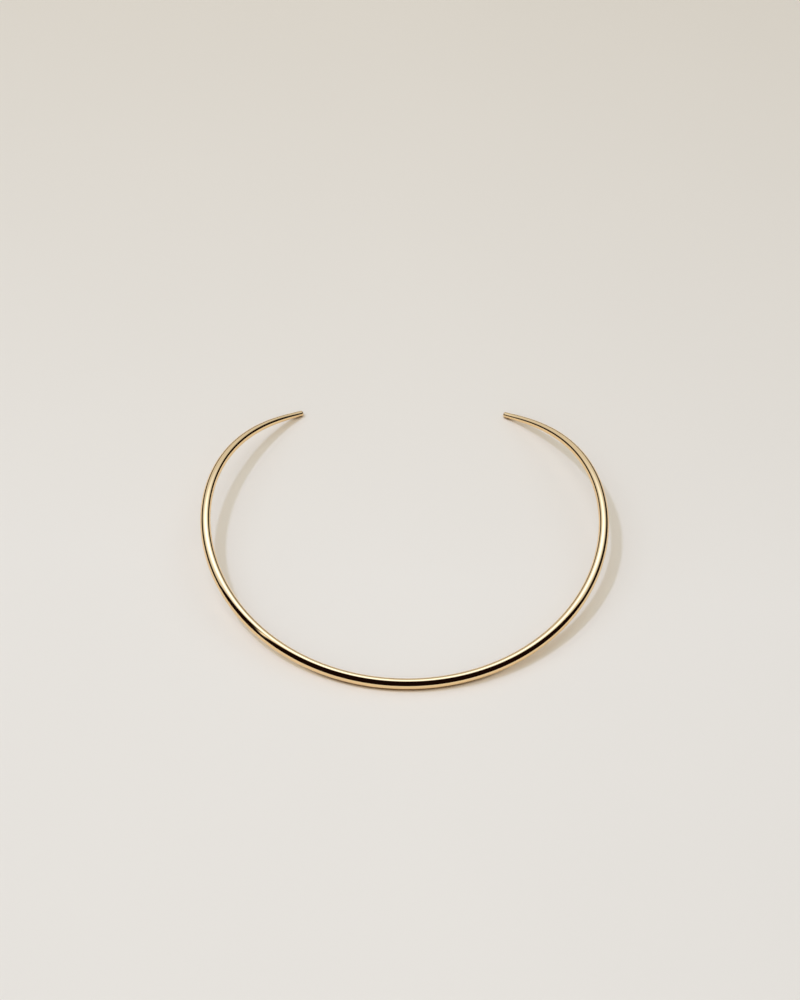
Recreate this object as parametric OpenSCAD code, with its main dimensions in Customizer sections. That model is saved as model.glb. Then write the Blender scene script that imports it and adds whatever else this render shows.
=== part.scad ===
// Open collar choker: one round metal wire bent into a rigid neck ring that is open at the back.
// Seen from above the wire follows an ellipse. Seen from the side it arches: the front and the two
// ends touch the surface it lies on, and the sides stand clear of it.
// Millimetres. +Z up, +Y towards the open back, origin on the surface under the middle of the ring.

/* [Ring] */
// Width of the ring across the neck, between the wire's centres
ring_w = 125; // [105:1:150]
// Depth of the full ellipse from front to back, between the wire's centres
ring_d = 122; // [100:1:150]
// Distance between the centres of the two ends
gap_w = 66.4; // [50:0.2:80]

/* [Arch] */
// Height that the sides rise above the front and the ends
arch_h = 8.2; // [0:0.2:14]
// Where the arch peaks: 1 is halfway from the front to an end, larger is nearer the end
arch_skew = 1.95; // [1:0.05:2.4]
// How softly the arch starts and lands: 1 is a plain sine wave, larger is softer
arch_ease = 1.15; // [1:0.05:1.6]

/* [Wire] */
// Wire diameter at the middle of the front
front_t = 3.35; // [2:0.05:5]
// Wire diameter at the two ends
end_t = 1.7; // [1:0.05:2]
// How long the wire keeps its thickness: larger keeps the taper nearer the ends
taper_power = 5; // [1:0.5:8]
// Radius of the softened edge round each end face
end_edge_r = 0.35; // [0.1:0.05:0.45]

/* [Facets] */
// Sides of the wire's section
section_sides = 24; // [12:2:30]
// Steps along the wire from the front to one end
half_steps = 62; // [30:1:80]

/* [Hidden] */

// Turn along the ellipse from the front to an end, past the widest place at 90 degrees
end_turn = 90 + acos(gap_w / ring_w);
edge_steps = 3;

// How far a turn is along the wire: 0 at the front, 1 at either end
function along(turn) = min(abs(turn) / end_turn, 1);

// Wire radius at a turn
function wire_r(turn) = (end_t + (front_t - end_t) * (1 - pow(along(turn), taper_power))) / 2;

// Height of the wire's centre at a turn: its own radius plus the arch
function centre_z(turn) =
    wire_r(turn) + arch_h * pow(max(sin(180 * pow(along(turn), arch_skew)), 0), arch_ease);

// Centre of the wire at a turn, which is negative on the left side
function centre(turn) = [ring_w / 2 * sin(turn), -ring_d / 2 * cos(turn), centre_z(turn)];

function unit(v) = v / norm(v);

// Direction of the wire at a turn, looked up just inside the ends
tangent_step = 0.05;
function tangent(turn) =
    let (t = max(min(turn, end_turn - tangent_step), tangent_step - end_turn))
    unit(centre(t + tangent_step) - centre(t - tangent_step));

// A circle of points round a place, square to a direction
function ring(place, direction, r) =
    let (side = unit(cross(direction, [0, 0, 1])), up = cross(side, direction))
    [for (i = [0 : section_sides - 1])
        let (a = 360 * i / section_sides)
        place + r * (cos(a) * side + sin(a) * up)];

// The softened edge past an end: rings that close in round a quarter circle to the flat end face
function edge_rings(turn, outward) =
    [for (k = [1 : edge_steps])
        let (a = 90 * k / edge_steps, direction = tangent(turn))
        ring(centre(turn) + outward * end_edge_r * sin(a) * direction,
             direction,
             wire_r(turn) - end_edge_r * (1 - cos(a)))];

function reversed(list) = [for (i = [len(list) - 1 : -1 : 0]) list[i]];

// All rings, from the left end face round the front to the right end face
rings = concat(
    reversed(edge_rings(-end_turn, -1)),
    [for (k = [-half_steps : half_steps])
        let (turn = end_turn * k / half_steps)
        ring(centre(turn), tangent(turn), wire_r(turn))],
    edge_rings(end_turn, 1));

// The ring's points, and the shift that sets its lowest point on the surface and centres its depth
skin = [for (r = rings) for (p = r) p];
skin_y = [for (p = skin) p[1]];
skin_z = [for (p = skin) p[2]];
seat = [0, -(min(skin_y) + max(skin_y)) / 2, -min(skin_z)];

// Two triangles for each place between two neighbouring rings
function band_faces() =
    [for (k = [0 : len(rings) - 2]) for (i = [0 : section_sides - 1])
        let (a = k * section_sides,
             b = a + section_sides,
             j = (i + 1) % section_sides)
        each [[a + i, b + i, b + j], [a + i, b + j, a + j]]];

// The two flat end faces
function end_faces() =
    let (last = (len(rings) - 1) * section_sides)
    [[for (i = [0 : section_sides - 1]) i],
     [for (i = [section_sides - 1 : -1 : 0]) last + i]];

// The whole collar: one bent, tapered wire
module collar() {
    color([0.86, 0.68, 0.37])
        translate(seat)
            polyhedron(points = skin, faces = concat(band_faces(), end_faces()));
}

collar();
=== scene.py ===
# %% [markdown]
# # An open collar choker in polished gold
#
# The real object is one round metal wire, bent into a rigid ring that is open at the back. The wire
# is thickest at the front and thins towards its two free ends, each cut square and softened. Laid on
# a table it touches at the front and at both ends, and its sides arch clear of the surface.
#
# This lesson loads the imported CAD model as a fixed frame, models the wire again with a finer skin,
# gives it a mirror polish, and sets it in a small photo studio: a pale board, three suns, a pale room
# and the glowing sheet that a polished wire needs over it, because a mirror only shows what stands
# near it.

# %% Load the frame
import math

import bpy
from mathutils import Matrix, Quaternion, Vector


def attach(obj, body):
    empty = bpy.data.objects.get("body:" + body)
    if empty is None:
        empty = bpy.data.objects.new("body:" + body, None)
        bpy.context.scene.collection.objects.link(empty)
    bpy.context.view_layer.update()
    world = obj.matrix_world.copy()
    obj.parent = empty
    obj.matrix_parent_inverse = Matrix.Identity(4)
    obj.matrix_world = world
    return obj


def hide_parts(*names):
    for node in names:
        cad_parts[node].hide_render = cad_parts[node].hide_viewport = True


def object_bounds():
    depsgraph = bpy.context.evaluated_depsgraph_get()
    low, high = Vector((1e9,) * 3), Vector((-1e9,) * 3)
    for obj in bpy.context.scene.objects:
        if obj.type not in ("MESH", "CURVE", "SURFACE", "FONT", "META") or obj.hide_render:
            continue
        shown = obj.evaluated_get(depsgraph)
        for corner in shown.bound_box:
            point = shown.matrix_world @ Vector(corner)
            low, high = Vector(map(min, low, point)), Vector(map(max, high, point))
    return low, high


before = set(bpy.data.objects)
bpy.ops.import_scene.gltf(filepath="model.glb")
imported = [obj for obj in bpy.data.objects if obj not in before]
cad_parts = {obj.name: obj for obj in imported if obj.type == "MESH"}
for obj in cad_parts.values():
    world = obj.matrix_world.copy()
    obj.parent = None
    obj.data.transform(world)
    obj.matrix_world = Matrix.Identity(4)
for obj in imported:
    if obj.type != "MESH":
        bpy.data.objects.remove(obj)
cad_low, cad_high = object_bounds()
print("CAD box in mm:", [round(1000 * v, 2) for v in (*cad_low, *cad_high)])

# %% [markdown]
# ## The wire's sizes
#
# Every size is a real one, in metres, and the same as in the CAD model. Seen from above the wire
# follows an ellipse, so one number says where we are on it: the turn, an angle that is 0 at the
# middle of the front, 90 degrees at a side and about 148 degrees at an end.

# %% Sizes of the ring and its wire
MM = 0.001
ring_width = 125 * MM
ring_depth = 122 * MM
gap_width = 66.4 * MM
arch_height = 8.2 * MM
arch_skew = 1.95
arch_ease = 1.15
front_thickness = 3.35 * MM
end_thickness = 1.7 * MM
taper_power = 5
end_edge = 0.35 * MM

end_turn = math.pi / 2 + math.acos(gap_width / ring_width)
ring_middle_y = cad_low.y + (ring_depth + front_thickness) / 2
print("turn at an end:", round(math.degrees(end_turn), 1), "degrees")

# %% Where the wire runs
def along(turn):
    """0 at the middle of the front, 1 at either end."""
    return min(abs(turn) / end_turn, 1)


def thickness(turn):
    """The wire's diameter, which drops faster and faster towards the ends."""
    return end_thickness + (front_thickness - end_thickness) * (1 - along(turn) ** taper_power)


def lift(turn):
    """How far the arch raises the wire above the surface."""
    wave = max(math.sin(math.pi * along(turn) ** arch_skew), 0)
    return arch_height * wave ** arch_ease


def centre(turn):
    """The middle of the wire, in the frame's own place."""
    x = ring_width / 2 * math.sin(turn)
    y = ring_middle_y - ring_depth / 2 * math.cos(turn)
    return Vector((x, y, thickness(turn) / 2 + lift(turn)))


print("widest point in mm:", [round(v / MM, 2) for v in centre(math.pi / 2)])

# %% [markdown]
# ## A straight rod
#
# A jeweller starts from straight wire and bends it, and so do we. The rod begins as a circle that is
# extruded into one thin slice, and an Array modifier repeats the slice down the whole length. A
# sweep along a path in one step would also work, but a rod that starts straight lets us
# remember where each point was before the bend. The polish marks use that later, so that they run
# along the wire and not across the scene.
#
# A mirror shows every facet, so the slices are short and the circle has many sides.

# %% Draw the path that the rod will follow
path_cuts = 29
path_order = 4
path_fineness = 12


def new_path():
    """A smooth curve through the middle of the wire. Its points carry the wire's thickness."""
    bpy.ops.object.select_all(action="DESELECT")
    bpy.ops.curve.primitive_nurbs_path_add(location=(0, 0, 0))
    path = bpy.context.object
    bpy.ops.object.mode_set(mode="EDIT")
    bpy.ops.curve.select_all(action="SELECT")
    bpy.ops.curve.subdivide(number_cuts=path_cuts)
    bpy.ops.object.mode_set(mode="OBJECT")
    spline = path.data.splines[0]
    spline.order_u = path_order
    spline.use_endpoint_u = True
    last = len(spline.points) - 1
    for i, point in enumerate(spline.points):
        turn = end_turn * (2 * i / last - 1)
        point.co = (*centre(turn), 1)
        point.radius = thickness(turn) / front_thickness
    path.data.dimensions = "3D"
    path.data.twist_mode = "Z_UP"
    path.data.resolution_u = path_fineness
    path.data.use_radius = True
    return path


path = new_path()
path_length = path.data.splines[0].calc_length()
print("path points:", len(path.data.splines[0].points), "length in mm:", round(path_length / MM, 1))

# %% Extrude one slice and repeat it
section_sides = 48
slices = 420
rod_length = path_length + 2 * end_edge
slice_length = rod_length / slices
same_point = slice_length / 100


def straight_rod():
    """An open tube along X, from just before 0 to just past the path's length."""
    bpy.ops.object.select_all(action="DESELECT")
    bpy.ops.mesh.primitive_circle_add(
        vertices=section_sides,
        radius=front_thickness / 2,
        location=(-end_edge, 0, 0),
        rotation=(0, math.pi / 2, 0),
    )
    rod = bpy.context.object
    bpy.ops.object.transform_apply(location=True, rotation=True, scale=True)
    bpy.ops.object.mode_set(mode="EDIT")
    bpy.ops.mesh.select_all(action="SELECT")
    bpy.ops.mesh.extrude_region_move(TRANSFORM_OT_translate={"value": (slice_length, 0, 0)})
    bpy.ops.object.mode_set(mode="OBJECT")
    repeat = rod.modifiers.new("slices", "ARRAY")
    repeat.count = slices
    repeat.use_relative_offset = False
    repeat.use_constant_offset = True
    repeat.constant_offset_displace = (slice_length, 0, 0)
    repeat.use_merge_vertices = True
    repeat.merge_threshold = same_point
    bpy.ops.object.modifier_apply(modifier=repeat.name)
    return rod


collar = straight_rod()
collar.name = "collar_wire"
print("rod points:", len(collar.data.vertices))

# %% Remember each point's place on the straight rod
def remember_rod(piece):
    """Stores the straight places as an attribute that the material can read after the bend."""
    rod_place = piece.data.attributes.new("rod_place", "FLOAT_VECTOR", "POINT")
    for point, stored in zip(piece.data.vertices, rod_place.data):
        stored.vector = point.co


remember_rod(collar)
print("remembered places:", len(collar.data.attributes["rod_place"].data))

# %% [markdown]
# ## Bend and taper in one step
#
# A Curve modifier lays the rod along the path. Because each path point has a radius, the same
# modifier also draws the wire thinner towards the ends, as a file or a rolling mill would.

# %% Bend the rod
def only(piece):
    """Makes one object the active and only selected one."""
    bpy.ops.object.select_all(action="DESELECT")
    piece.select_set(True)
    bpy.context.view_layer.objects.active = piece


def bend(piece, along_path):
    """Lays the piece along the path and keeps the result."""
    only(piece)
    curve = piece.modifiers.new("bend", "CURVE")
    curve.object = along_path
    curve.deform_axis = "POS_X"
    bpy.ops.object.modifier_apply(modifier=curve.name)


bend(collar, path)
bpy.data.objects.remove(path)
print("bent size in mm:", [round(v / MM, 1) for v in collar.dimensions])

# %% [markdown]
# ## Close and soften the ends
#
# The saw leaves a square end, and a few strokes of a fine file break its edge. The open ends are
# filled with one flat face each, then the rim of that face is bevelled. A thin inset
# keeps the flat face flat when the shading is made smooth.

# %% Fill, bevel and inset both ends
end_steps = 4
end_roundness = 0.5
end_hold = 0.04 * MM
smooth_below = math.radians(40)


def select_end_faces(piece):
    """Selects the two flat ends, the only faces with more than four corners."""
    bpy.ops.object.mode_set(mode="OBJECT")
    for face in piece.data.polygons:
        face.select = len(face.vertices) > 4
    bpy.ops.object.mode_set(mode="EDIT")


def close_ends(piece):
    """Fills both ends, rounds their rims and turns every face outwards."""
    only(piece)
    bpy.ops.object.mode_set(mode="EDIT")
    bpy.ops.mesh.select_mode(type="FACE")
    bpy.ops.mesh.select_all(action="SELECT")
    bpy.ops.mesh.fill_holes(sides=0)
    select_end_faces(piece)
    bpy.ops.mesh.region_to_loop()
    bpy.ops.mesh.bevel(offset=end_edge, segments=end_steps, profile=end_roundness)
    bpy.ops.mesh.select_mode(type="FACE")
    select_end_faces(piece)
    bpy.ops.mesh.inset(thickness=end_hold)
    bpy.ops.mesh.select_all(action="SELECT")
    bpy.ops.mesh.normals_make_consistent(inside=False)
    bpy.ops.object.mode_set(mode="OBJECT")
    bpy.ops.object.shade_smooth_by_angle(angle=smooth_below)


close_ends(collar)
print("wire faces:", len(collar.data.polygons))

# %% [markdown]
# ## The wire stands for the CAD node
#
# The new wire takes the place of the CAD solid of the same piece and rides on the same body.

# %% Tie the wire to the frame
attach(collar, "root")
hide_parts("collar")
print(collar.name, "has", len(collar.data.vertices), "points")

# %% [markdown]
# ## Polished gold
#
# Polished gold has no colour of its own apart from what it mirrors: the metal tints every
# reflection yellow and takes most from the blue. What makes it look handmade is small: the
# buffing wheel leaves hair-thin lines along the wire, the surface waves very gently where
# it was bent, and handling dulls it in soft patches. All three are driven by the straight rod's
# places, so that the lines follow the bend.
#
# The polish is a node group with named inputs, so that another metal could use it too. It puts out
# a roughness and a normal, and the shader itself stays in the material.
#
# Four small helpers come first. They add a node and fill its inputs, either with plain values or
# with links from other nodes, so that the recipe of each finish can be read from top to bottom.

# %% Helpers that add nodes
def add_node(tree, kind, inputs=None, **settings):
    """Adds a node, sets its properties, then gives its inputs plain values or links."""
    node = tree.nodes.new(kind)
    for name, value in settings.items():
        setattr(node, name, value)
    for name, value in (inputs or {}).items():
        if isinstance(value, bpy.types.NodeSocket):
            tree.links.new(value, node.inputs[name])
        else:
            node.inputs[name].default_value = value
    return node


def noise(tree, place, scale, detail):
    """A soft random pattern between 0 and 1."""
    pattern = {"Vector": place, "Scale": scale, "Detail": detail}
    return add_node(tree, "ShaderNodeTexNoise", pattern).outputs["Fac"]


def remap(tree, value, old=(0, 1), new=(0, 1), shape="LINEAR"):
    """Moves a value from its old range to a new one, and keeps it inside the new one."""
    ranges = {"From Min": old[0], "From Max": old[1], "To Min": new[0], "To Max": new[1]}
    node = add_node(tree, "ShaderNodeMapRange", {"Value": value, **ranges}, interpolation_type=shape)
    return node.outputs["Result"]


def calculate(tree, operation, *numbers):
    """The result of one step of arithmetic."""
    node = add_node(tree, "ShaderNodeMath", dict(enumerate(numbers)), operation=operation)
    return node.outputs["Value"]


# %% The node group for the polish
polish_values = {
    "Polish": 0.03,
    "Handling": 0.05,
    "Line Depth": 0.0001 * MM,
    "Wave Height": 0.004 * MM,
}
line_stretch = (0.04, 1, 1)
line_scale, line_detail = 9000, 2
patch_scale, patch_detail = 160, 3
wave_scale, wave_detail = 130, 0
handled_range = (0.52, 0.75)


def hand_polish_group():
    """Takes a place on the straight rod and gives the polish there."""
    group = bpy.data.node_groups.new("hand polish", "ShaderNodeTree")
    new_socket = group.interface.new_socket
    new_socket("Place", in_out="INPUT", socket_type="NodeSocketVector")
    for name, value in polish_values.items():
        new_socket(name, in_out="INPUT", socket_type="NodeSocketFloat").default_value = value
    new_socket("Roughness", in_out="OUTPUT", socket_type="NodeSocketFloat")
    new_socket("Normal", in_out="OUTPUT", socket_type="NodeSocketVector")
    given = add_node(group, "NodeGroupInput").outputs
    place = given["Place"]

    handled = remap(group, noise(group, place, patch_scale, patch_detail), handled_range)
    rough = calculate(group, "MULTIPLY_ADD", handled, given["Handling"], given["Polish"])

    waves = {"Height": noise(group, place, wave_scale, wave_detail), "Distance": given["Wave Height"]}
    waved = add_node(group, "ShaderNodeBump", waves).outputs["Normal"]
    stretched = add_node(group, "ShaderNodeMapping", {"Vector": place, "Scale": line_stretch})
    hair = noise(group, stretched.outputs["Vector"], line_scale, line_detail)
    lines = {"Height": hair, "Distance": given["Line Depth"], "Normal": waved}
    lined = add_node(group, "ShaderNodeBump", lines).outputs["Normal"]
    add_node(group, "NodeGroupOutput", {"Roughness": rough, "Normal": lined})
    return group


hand_polish = hand_polish_group()
print("hand polish has:", [socket.name for socket in hand_polish.interface.items_tree])

# %% The gold material
gold_tint = (0.95, 0.70, 0.39, 1)


def polished_gold():
    """A mirror metal with the hand polish on it."""
    material = bpy.data.materials.new("polished gold")
    material.use_nodes = True
    tree = material.node_tree
    shader = tree.nodes["Principled BSDF"]
    shader.inputs["Base Color"].default_value = gold_tint
    shader.inputs["Metallic"].default_value = 1
    rod_place = add_node(tree, "ShaderNodeAttribute", attribute_name="rod_place").outputs["Vector"]
    polish = add_node(tree, "ShaderNodeGroup", {"Place": rod_place}, node_tree=hand_polish).outputs
    tree.links.new(polish["Roughness"], shader.inputs["Roughness"])
    tree.links.new(polish["Normal"], shader.inputs["Normal"])
    return material


collar.data.materials.clear()
collar.data.materials.append(polished_gold())
print("the wire wears:", [material.name for material in collar.data.materials])

# %% [markdown]
# ## The floor
#
# The collar lies on a plain, pale, matt board. The board is brightest in front of the ring. Its colour
# turns slowly darker and warmer towards the back, a painted shade for a long board where it leaves
# the light, and a little darker to the right. Real board is never one perfect colour, so a very soft
# noise moves it by about one part in a hundred.
#
# Three more helpers do the sums on colours and places.

# %% Helpers for colours and places
def calculate_vector(tree, operation, first, second):
    """One step of arithmetic on two colours or places. A dot product gives one number."""
    node = add_node(tree, "ShaderNodeVectorMath", {0: first, 1: second}, operation=operation)
    return node.outputs["Value" if operation == "DOT_PRODUCT" else "Vector"]


def scaled(tree, colour, share):
    """A colour made brighter or darker."""
    node = add_node(tree, "ShaderNodeVectorMath", {0: colour, "Scale": share}, operation="SCALE")
    return node.outputs["Vector"]


def mix(tree, share, first, second):
    """The first colour where the share is 0 and the second where it is 1."""
    node = add_node(tree, "ShaderNodeMix", {"Factor": share, "A": first, "B": second}, data_type="RGBA")
    return node.outputs["Result"]


# %% The board's colour, with painted shade towards the back
# The back colour and the fade towards it are painted shade, where the board leaves the light.
floor_front = (0.807, 0.787, 0.759, 1)
floor_back_painted_shade = (0.704, 0.664, 0.597, 1)
painted_shade_start = -0.0135
painted_shade_end = 0.29
painted_shade_right = 0.097
right_reach = 0.13
right_dimmed = 0.97
mottle_scale, mottle_detail = 14, 1
mottle_darkest = 0.985


def board_colour_and_painted_shade(tree, place):
    """Pale in front, with painted shade darker and warmer behind, and a little darker on the right."""
    behind = calculate_vector(tree, "DOT_PRODUCT", place, (painted_shade_right, 1, 0))
    fading = remap(tree, behind, (painted_shade_start, painted_shade_end))
    colour = mix(tree, fading, floor_front, floor_back_painted_shade)
    sideways = add_node(tree, "ShaderNodeSeparateXYZ", {"Vector": place}).outputs["X"]
    right_side = remap(tree, sideways, (0, right_reach), (1, right_dimmed))
    mottle = remap(tree, noise(tree, place, mottle_scale, mottle_detail), new=(mottle_darkest, 1))
    return scaled(tree, colour, calculate(tree, "MULTIPLY", mottle, right_side))


print("board goes from", floor_front[:3], "to", floor_back_painted_shade[:3])

# %% [markdown]
# Where the wire touches the board, the gap between them is too narrow for much light to get in, and
# the light that does has bounced off the gold. Ambient occlusion finds that gap, up to a millimetre
# from the wire, and a deep gold-brown shade is painted into the board's colour there.

# %% The painted shade in the gap
# The gap colour is painted shade, darkest where the wire meets the board.
gap_shade_colour = (0.22, 0.12, 0.03, 1)
no_tint = (1, 1, 1, 1)
gap_reach = 1.0 * MM
gap_closed = 0.15
gap_open = 0.85
gap_samples = 4


def painted_gap_shade(tree):
    """White in the open, and a painted gold-brown shade where the wire is very near."""
    gap = add_node(tree, "ShaderNodeAmbientOcclusion", {"Distance": gap_reach}, samples=gap_samples)
    openness = remap(tree, gap.outputs["AO"], (gap_closed, gap_open), shape="SMOOTHSTEP")
    return mix(tree, openness, gap_shade_colour, no_tint)


print("gap tint reaches", gap_reach / MM, "mm from the wire")

# %% A pale board
floor_size = 8.0


def floor_material():
    """A matt board without any shine."""
    material = bpy.data.materials.new("pale board")
    material.use_nodes = True
    tree = material.node_tree
    shader = tree.nodes["Principled BSDF"]
    shader.inputs["Roughness"].default_value = 1
    shader.inputs["Specular IOR Level"].default_value = 0
    place = add_node(tree, "ShaderNodeTexCoord").outputs["Object"]
    shaded = calculate_vector(tree, "MULTIPLY", board_colour_and_painted_shade(tree, place), painted_gap_shade(tree))
    tree.links.new(shaded, shader.inputs["Base Color"])
    return material


bpy.ops.object.select_all(action="DESELECT")
bpy.ops.mesh.primitive_plane_add(size=floor_size, location=(0, 0, 0))
floor = bpy.context.object
floor.name = "floor"
floor.data.materials.append(floor_material())
print("board in m:", round(floor.dimensions.x, 2), "by", round(floor.dimensions.y, 2))

# %% [markdown]
# ## The camera
#
# The photograph looks down at the ring from 49 degrees above the table, a little from the left,
# through a long lens from about a metre away. The camera is also rolled a little. It aims just
# behind the middle of the ring, so that the ring sits low in the picture.

# %% Directions in the studio
view_above = math.radians(49.06)
view_from_left = math.radians(1.48)
ring_middle = Vector((0, ring_middle_y, 0))
view_right = Vector((math.cos(view_from_left), -math.sin(view_from_left), 0))
view_back = Vector((math.sin(view_from_left), math.cos(view_from_left), 0))
view_up = Vector((0, 0, 1))


def studio_place(right, behind, up=0):
    """A place given from the ring's middle, in metres, as the camera sees it."""
    return ring_middle + right * view_right + behind * view_back + up * view_up


print("middle of the ring in mm:", [round(v / MM, 1) for v in ring_middle])

# %% Place the camera
view_roll = math.radians(1.35)
view_distance = 1.029
view_half_width = math.radians(7)
aim_right = -1.66 * MM
aim_behind = 14.9 * MM
picture_width = 800
picture_height = 1000
sensor = 36


def place_camera():
    """A long lens, with its width set by how much of the table it takes in."""
    data = bpy.data.cameras.new("camera")
    data.sensor_width = sensor
    data.lens = sensor / 2 * (picture_width / picture_height) / math.tan(view_half_width)
    camera = bpy.data.objects.new("camera", data)
    bpy.context.scene.collection.objects.link(camera)
    camera.location = studio_place(
        0, -view_distance * math.cos(view_above), view_distance * math.sin(view_above)
    )
    look = studio_place(aim_right, aim_behind) - camera.location
    camera.rotation_mode = "QUATERNION"
    camera.rotation_quaternion = look.to_track_quat("-Z", "Y") @ Quaternion((0, 0, 1), view_roll)
    bpy.context.scene.camera = camera
    return camera


camera = place_camera()
print("lens in mm:", round(camera.data.lens, 1))

# %% [markdown]
# ## Light on the board
#
# Three suns and the room make the board bright. A sun lights the whole table evenly, which suits a
# plain background. The key light is small and hard, high on the left and a little behind the ring,
# and draws the clear shadows beside the raised sides. It is blue next to the warm room, so its
# shadows turn warm. A broad soft light around it makes these shadows deeper where the wire is low
# and melts away where the wire is high. A weak side light comes from the right and behind.
#
# The suns are hidden from mirrors. What the wire mirrors is built further down.

# %% Three suns
suns = {
    "key light": {
        "strength": 0.75,
        "colour": (0.62, 0.73, 1),
        "angle": math.radians(5),
        "towards": (-0.51, 0.16, 1),
    },
    "soft light": {
        "strength": 0.60,
        "colour": (0.92, 1, 1.12),
        "angle": math.radians(60),
        "towards": (-0.50, 0.30, 1),
    },
    "side light": {
        "strength": 0.26,
        "colour": (1, 1, 1),
        "angle": math.radians(30),
        "towards": (0.74, 1.28, 1),
    },
}


def sun(name, colour, strength, angle, towards):
    """A sun that stands in a direction given as right, behind and up."""
    data = bpy.data.lights.new(name, "SUN")
    data.energy = strength
    data.color = colour
    data.angle = angle
    light = bpy.data.objects.new(name, data)
    bpy.context.scene.collection.objects.link(light)
    direction = towards[0] * view_right + towards[1] * view_back + towards[2] * view_up
    light.rotation_mode = "QUATERNION"
    light.rotation_quaternion = direction.to_track_quat("Z", "Y")
    light.visible_glossy = False
    return light


for name, facts in suns.items():
    light = sun(name, **facts)
    beam = light.rotation_quaternion @ view_up
    print(name, "stands", round(math.degrees(math.asin(beam.z))), "degrees above the board")

# %% [markdown]
# ## What the metal mirrors
#
# A mirror-bright wire is lit by what it reflects. One long sheet of cloth hangs over the ring and
# reaches back from it. It glows faintly all over, and a lamp behind it makes a bright patch that
# fades out. Everything on the camera's side is dark, and that draws the black line along the front.
#
# The sheet is seen by the metal alone, so it neither lights the board nor stands in the way of
# another view.
#
# The lamp's patch is an oval that fades softly. It is a node group, because the key light's image
# below is the same kind of oval.

# %% The node group for a soft patch
def soft_patch_group():
    """1 in the middle of an oval patch, fading softly to 0 around it."""
    group = bpy.data.node_groups.new("soft patch", "ShaderNodeTree")
    for name in ("Place", "Middle", "Spread"):
        group.interface.new_socket(name, in_out="INPUT", socket_type="NodeSocketVector")
    group.interface.new_socket("Value", in_out="OUTPUT", socket_type="NodeSocketFloat")
    given = add_node(group, "NodeGroupInput").outputs
    from_middle = calculate_vector(group, "SUBTRACT", given["Place"], given["Middle"])
    in_spreads = calculate_vector(group, "DIVIDE", from_middle, given["Spread"])
    squared = calculate_vector(group, "DOT_PRODUCT", in_spreads, in_spreads)
    fading = calculate(group, "EXPONENT", calculate(group, "MULTIPLY", squared, -1 / 2))
    add_node(group, "NodeGroupOutput", {"Value": fading})
    return group


soft_patch = soft_patch_group()
print("soft patch has:", [socket.name for socket in soft_patch.interface.items_tree])

# %% The sheet's glow
sheet_middle = -0.085
sheet_even = 0.30
sheet_dark = 0.53
sheet_glow = (0.70, 0.72, 0.76)
lamp_glow = (1.0, 1.38, 1.95)
lamp_place = (-0.030, 0.143)
lamp_spread = (0.14, 0.064)


def empty_material(name):
    """A material with nothing in it yet, and its node tree."""
    material = bpy.data.materials.new(name)
    material.use_nodes = True
    material.node_tree.nodes.clear()
    return material, material.node_tree


def sheet_material():
    """Faint light that fades to the left and right, and one soft bright patch."""
    material, tree = empty_material("glowing sheet")
    place = add_node(tree, "ShaderNodeTexCoord").outputs["Object"]
    oval = {"Place": place, "Middle": (*lamp_place, 0), "Spread": (*lamp_spread, 1)}
    patch = add_node(tree, "ShaderNodeGroup", oval, node_tree=soft_patch).outputs["Value"]
    both = calculate_vector(tree, "ADD", scaled(tree, lamp_glow, patch), sheet_glow)
    sideways = add_node(tree, "ShaderNodeSeparateXYZ", {"Vector": place}).outputs["X"]
    distance = calculate(tree, "ABSOLUTE", calculate(tree, "SUBTRACT", sideways, sheet_middle))
    fading = remap(tree, distance, (sheet_even, sheet_dark), (1, 0), "SMOOTHSTEP")
    glow = add_node(tree, "ShaderNodeEmission", {"Color": both, "Strength": fading})
    add_node(tree, "ShaderNodeOutputMaterial", {"Surface": glow.outputs["Emission"]})
    return material


print("brightest glow:", [round(sheet + lamp, 2) for sheet, lamp in zip(sheet_glow, lamp_glow)])

# %% Hang the sheet
sheet_left, sheet_right = -0.66, 0.49
sheet_near, sheet_far = -0.0015, 1.3
sheet_up = 0.30


def for_metal_only(piece):
    """Hides a piece of stage gear from all but mirrors."""
    piece.visible_camera = False
    piece.visible_diffuse = False
    piece.visible_shadow = False


def hang_sheet():
    """The sheet's own zero is above the ring's middle, and its X runs to the camera's right."""
    bpy.ops.object.select_all(action="DESELECT")
    bpy.ops.mesh.primitive_plane_add()
    sheet = bpy.context.object
    sheet.name = "glowing sheet"
    for point in sheet.data.vertices:
        point.co.x = sheet_right if point.co.x > 0 else sheet_left
        point.co.y = sheet_far if point.co.y > 0 else sheet_near
    sheet.location = studio_place(0, 0, sheet_up)
    sheet.rotation_euler.z = -view_from_left
    sheet.data.materials.append(sheet_material())
    for_metal_only(sheet)


hang_sheet()
print("sheet in m:", round(sheet_right - sheet_left, 2), "by", round(sheet_far - sheet_near, 2))

# %% [markdown]
# The key light shows in the wire as well. On the left of the front the white band swells down and
# almost cuts the black one. A round wire mirrors a whole arc of the room across its width, so a
# narrow strip that lies along the arc of one place lights that place from edge to edge and leaves
# its neighbours dark.
#
# The strip hangs level, just under the sheet. It adds its glow to what is behind it and hides
# nothing.

# %% The key light's image
strip_spread = (0.10, 0.0075)
strip_glow = (1.3, 1.3, 1.3, 1)


def strip_material():
    """One long oval of light on clear film."""
    material, tree = empty_material("key image")
    place = add_node(tree, "ShaderNodeTexCoord").outputs["Object"]
    oval = {"Place": place, "Spread": (*strip_spread, 1)}
    patch = add_node(tree, "ShaderNodeGroup", oval, node_tree=soft_patch).outputs["Value"]
    glow = add_node(tree, "ShaderNodeEmission", {"Color": strip_glow, "Strength": patch})
    clear = add_node(tree, "ShaderNodeBsdfTransparent")
    layers = {0: glow.outputs["Emission"], 1: clear.outputs["BSDF"]}
    both = add_node(tree, "ShaderNodeAddShader", layers)
    add_node(tree, "ShaderNodeOutputMaterial", {"Surface": both.outputs["Shader"]})
    return material


print("key image spreads over mm:", [round(v / MM, 1) for v in strip_spread])

# %% Hang the strip
strip_size = 0.9
strip_place = (-0.18, -0.060, 0.295)
strip_turn = math.radians(34.5)


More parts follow.
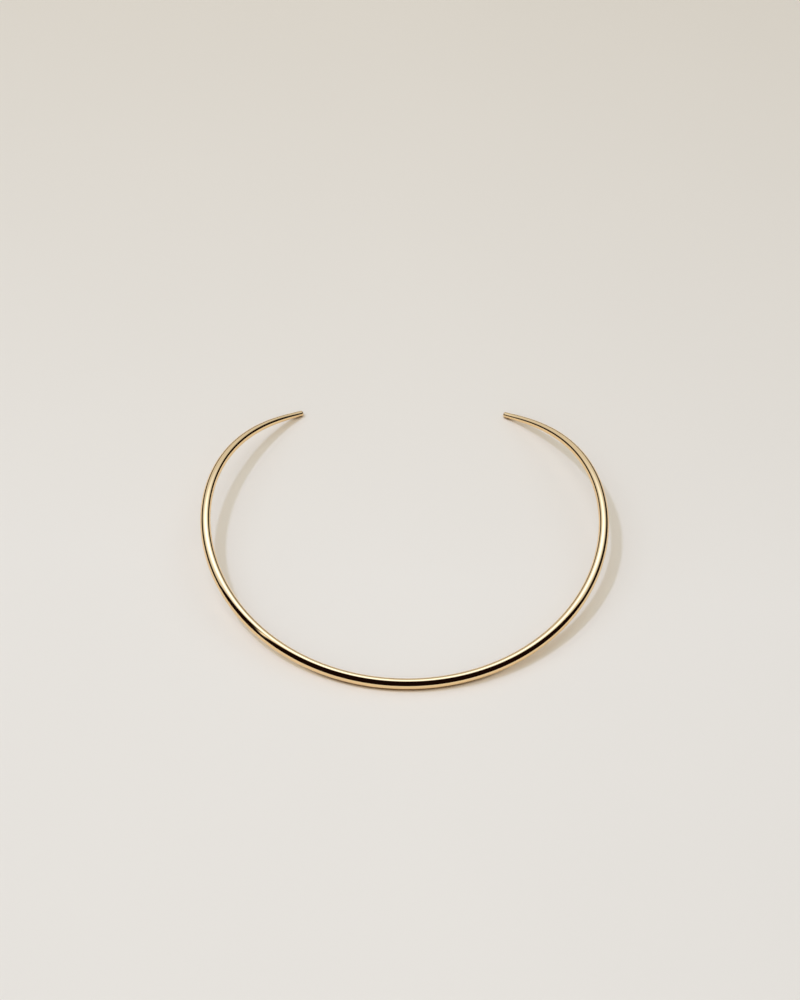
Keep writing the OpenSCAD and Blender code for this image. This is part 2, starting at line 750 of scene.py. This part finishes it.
def hang_strip():
    """The strip is turned to lie along the arc that one place of the wire mirrors."""
    bpy.ops.object.select_all(action="DESELECT")
    bpy.ops.mesh.primitive_plane_add(size=strip_size)
    strip = bpy.context.object
    strip.name = "key image"
    strip.location = studio_place(*strip_place)
    strip.rotation_euler.z = strip_turn - view_from_left
    strip.data.materials.append(strip_material())
    for_metal_only(strip)


hang_strip()
print("strip hangs", round((sheet_up - strip_place[2]) / MM), "mm under the sheet")

# %% [markdown]
# ## The room
#
# The room is pale and lights the board from all round, with a little more from the left and from
# the camera's side. Only what the camera sees mirrored in the wire is dark, as if black cloth hung
# around the camera.
#
# A wire that lies in bright light throws gold light back onto the board beside it. The suns can't do
# that here, since mirrors don't see them, so the room is brighter for light that comes by the wire.

# %% The room
room_light = (0.662, 0.615, 0.519, 1)
room_by_wire = (1.6, 1.55, 1.7, 1)
room_seen = (0.77, 0.75, 0.70, 1)
room_dark = (0.008, 0.003, 0.002, 1)
room_brighter = (-0.2, -0.25, 0)


def room_colour(tree):
    """What a ray meets when it leaves the table."""
    ray = add_node(tree, "ShaderNodeLightPath").outputs
    way = add_node(tree, "ShaderNodeTexCoord").outputs["Generated"]
    by_wire = mix(tree, ray["Is Glossy Ray"], room_light, room_by_wire)
    brighter = calculate_vector(tree, "DOT_PRODUCT", way, room_brighter)
    sided = scaled(tree, by_wire, calculate(tree, "ADD", brighter, 1))
    after_board = calculate(tree, "GREATER_THAN", ray["Diffuse Depth"], 1 / 2)
    light = mix(tree, after_board, room_dark, sided)
    return mix(tree, ray["Is Camera Ray"], light, room_seen)


def pale_room():
    """The world around the table."""
    world = bpy.data.worlds.new("room")
    bpy.context.scene.world = world
    world.use_nodes = True
    world.cycles.sampling_method = "NONE"
    tree = world.node_tree
    tree.nodes.clear()
    room = add_node(tree, "ShaderNodeBackground", {"Color": room_colour(tree)})
    add_node(tree, "ShaderNodeOutputWorld", {"Surface": room.outputs["Background"]})


pale_room()
bpy.context.scene.view_settings.view_transform = "Standard"
print("room light:", room_light[:3], "and by way of the wire:", room_by_wire[:3])
